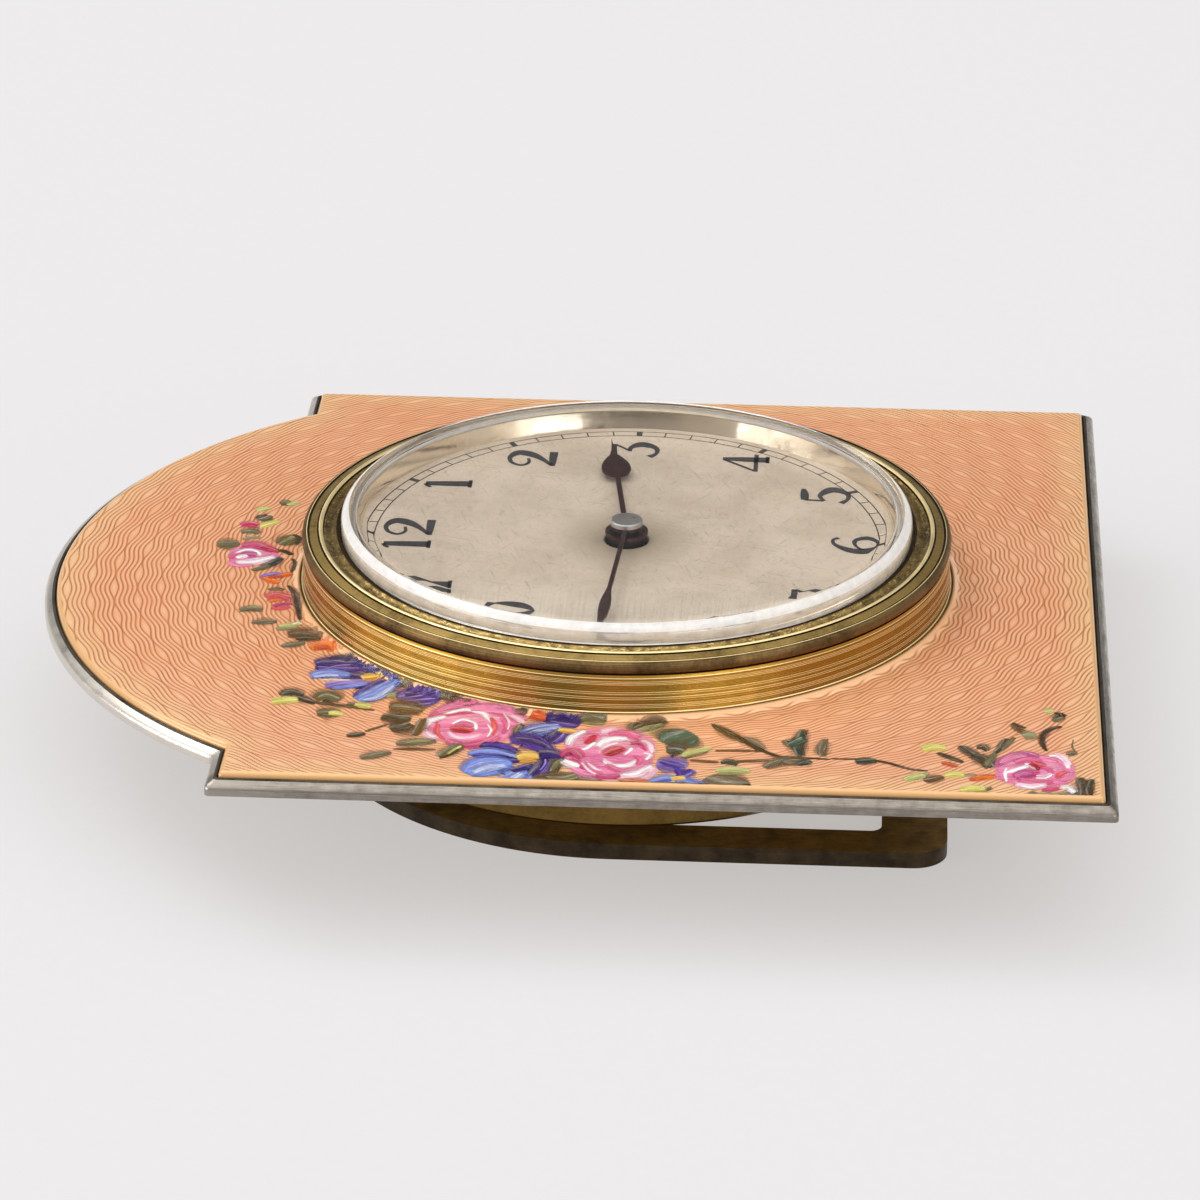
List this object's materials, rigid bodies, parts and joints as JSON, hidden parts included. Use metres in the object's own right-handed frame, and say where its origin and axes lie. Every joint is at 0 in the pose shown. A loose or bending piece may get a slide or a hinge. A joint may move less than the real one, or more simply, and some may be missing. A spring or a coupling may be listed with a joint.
{
  "type": "pendulette clock",
  "caption": "Small easel clock: enamelled arched plate in a silver frame, round gilt case with domed glass and pear hands, wound movement, key, setting knob and folding strut at the back.",
  "frame": {"origin": "centre of the object's box at the floor, with the clock lying on its folded strut", "axes": "+Z out of the dial, +Y towards 12 o'clock, +X towards 3 o'clock"},
  "size_m": [0.0676, 0.075, 0.0175],
  "materials": {
    "silver": "polished, tarnished in the corners",
    "enamel": "glossy translucent enamel over engine turning",
    "gilt": "gilt, lathe turned",
    "glass": "clear, polished",
    "silvered_dial": "silvered, brushed",
    "blued_steel": "blued to purple-brown",
    "dark_brass": "dark tarnished",
    "brass": "gilt grained",
    "steel": "polished",
    "ruby": "polished"
  },
  "bodies": {
    "case": {"silver_frame": "silver", "enamel_panel": "enamel", "bezel": "gilt", "crystal": "glass", "rehaut_ring": "gilt", "dial": "silvered_dial", "case_drum": "gilt", "back_cover": "gilt", "main_plate": "brass", "pillars": "brass", "train_bridge": "brass", "bridge_screws": "blued_steel", "click_screw": "blued_steel", "click_spring": "steel", "pallet_bridge": "brass", "balance_cock": "brass", "cock_screws": "blued_steel", "hairspring": "steel", "strut_bracket": "dark_brass", "strut_pin": "dark_brass", "bracket_screws": "dark_brass"},
    "strut": {"strut": "dark_brass"},
    "minute_work": {"center_arbor": "steel", "friction_spring": "steel", "cannon_pinion": "steel", "minute_hand": "blued_steel", "hand_cap": "steel", "setting_knob": "brass"},
    "minute_wheel": {"minute_wheel": "brass"},
    "hour_work": {"hour_wheel": "brass", "hour_hand": "blued_steel"},
    "fourth": {"fourth_wheel": "brass", "fourth_pinion": "steel"},
    "third": {"third_wheel": "brass", "third_pinion": "steel"},
    "center": {"center_wheel": "brass", "center_pinion": "steel"},
    "intermediate": {"intermediate_wheel": "brass", "intermediate_pinion": "steel"},
    "barrel": {"barrel": "brass", "barrel_cover": "brass", "mainspring": "steel"},
    "escape": {"escape_wheel": "steel", "escape_pinion": "steel"},
    "pallets": {"pallet_fork": "steel", "pallet_stones": "ruby", "pallet_arbor": "steel"},
    "balance": {"balance_wheel": "brass", "balance_staff": "steel"},
    "winder": {"barrel_arbor": "steel", "ratchet_wheel": "steel", "key_stem": "brass", "key_pin": "steel"},
    "bail": {"key_bail": "brass"},
    "click": {"click": "steel"},
    "regulator": {"regulator": "steel"}
  },
  "joints": [
    {"name": "strut_fold", "type": "hinge", "parent": "case", "child": "strut", "pos_m": [0, 0.01395, 0.0012], "axis": [1, 0, 0], "range_deg": [0, 38]},
    {"name": "hand_setting", "type": "hinge", "parent": "case", "child": "minute_work", "pos_m": [0, -0.00365, 0.0137], "axis": [0, 0, -1], "continuous": true},
    {"name": "minute_wheel_turn", "type": "hinge", "parent": "case", "child": "minute_wheel", "pos_m": [-0.00368, -0.00733, 0.0112], "axis": [0, 0, -1], "continuous": true},
    {"name": "hour_turn", "type": "hinge", "parent": "case", "child": "hour_work", "pos_m": [0, -0.00365, 0.01175], "axis": [0, 0, -1], "continuous": true},
    {"name": "fourth_turn", "type": "hinge", "parent": "case", "child": "fourth", "pos_m": [0.00747, -0.00178, 0.0062], "axis": [0, 0, -1], "continuous": true},
    {"name": "third_turn", "type": "hinge", "parent": "case", "child": "third", "pos_m": [0.00561, -0.00689, 0.0072], "axis": [0, 0, -1], "continuous": true},
    {"name": "center_turn", "type": "hinge", "parent": "case", "child": "center", "pos_m": [0, -0.00365, 0.00875], "axis": [0, 0, -1], "continuous": true},
    {"name": "intermediate_turn", "type": "hinge", "parent": "case", "child": "intermediate", "pos_m": [-0.00218, 0.00258, 0.0081], "axis": [0, 0, -1], "continuous": true},
    {"name": "barrel_turn", "type": "hinge", "parent": "case", "child": "barrel", "pos_m": [-0.0101, -0.00365, 0.00515], "axis": [0, 0, -1], "continuous": true},
    {"name": "escape_turn", "type": "hinge", "parent": "case", "child": "escape", "pos_m": [0.00978, 0.00222, 0.0073], "axis": [0, 0, -1], "continuous": true},
    {"name": "pallet_rock", "type": "hinge", "parent": "case", "child": "pallets", "pos_m": [0.00872, 0.00514, 0.0076], "axis": [0, 0, 1], "range_deg": [-6, 6]},
    {"name": "balance_swing", "type": "hinge", "parent": "case", "child": "balance", "pos_m": [0.00634, 0.00797, 0.00555], "axis": [0, 0, 1], "range_deg": [-150, 150], "stiffness_Nm_per_rad": 0.0000004},
    {"name": "winding", "type": "hinge", "parent": "case", "child": "winder", "pos_m": [-0.0101, -0.00365, 0.00295], "axis": [0, 0, 1], "continuous": true},
    {"name": "bail_fold", "type": "hinge", "parent": "winder", "child": "bail", "pos_m": [-0.0101, -0.00365, 0.00115], "axis": [1, 0, 0], "range_deg": [0, 90]},
    {"name": "click_lift", "type": "hinge", "parent": "case", "child": "click", "pos_m": [-0.00593, -0.00764, 0.00295], "axis": [0, 0, 1], "range_deg": [0, 8], "stiffness_Nm_per_rad": 0.000002},
    {"name": "regulator_turn", "type": "hinge", "parent": "case", "child": "regulator", "pos_m": [0.00634, 0.00797, 0.00327], "axis": [0, 0, 1], "range_deg": [-12, 12]}
  ],
  "couplings": [
    {"joint": "minute_wheel_turn", "follows": "hand_setting", "ratio": -0.33333},
    {"joint": "hour_turn", "follows": "hand_setting", "ratio": 0.083333},
    {"joint": "third_turn", "follows": "fourth_turn", "ratio": -0.13333},
    {"joint": "center_turn", "follows": "fourth_turn", "ratio": 0.016667},
    {"joint": "intermediate_turn", "follows": "fourth_turn", "ratio": -0.0033333},
    {"joint": "barrel_turn", "follows": "fourth_turn", "ratio": 0.00055556},
    {"joint": "escape_turn", "follows": "fourth_turn", "ratio": -10}
  ]
}
